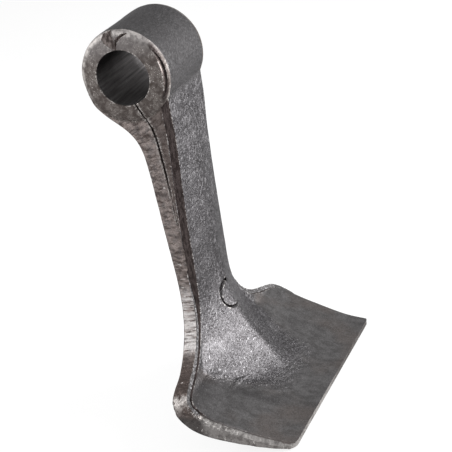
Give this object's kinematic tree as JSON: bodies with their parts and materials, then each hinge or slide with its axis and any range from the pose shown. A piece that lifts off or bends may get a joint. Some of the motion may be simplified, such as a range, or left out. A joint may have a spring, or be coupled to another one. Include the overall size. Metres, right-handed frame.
{
  "type": "shredder hammer",
  "caption": "Forged steel flail hammer for a shredder: a pivot boss with a plain bore, a tapering ridged shank and a wide blade that hooks forward.",
  "frame": {"origin": "centre of the pivot bore", "axes": "+X along the pivot bore, +Z from the blade up to the boss, -Y the way the blade hooks"},
  "size_m": [0.1278, 0.0779, 0.1886],
  "materials": {
    "forged_steel": "dark forged skin with fine grain, brown sheared trim faces along the sides and ends"
  },
  "bodies": {
    "root": {"forged_hammer": "forged_steel"}
  },
  "joints": []
}
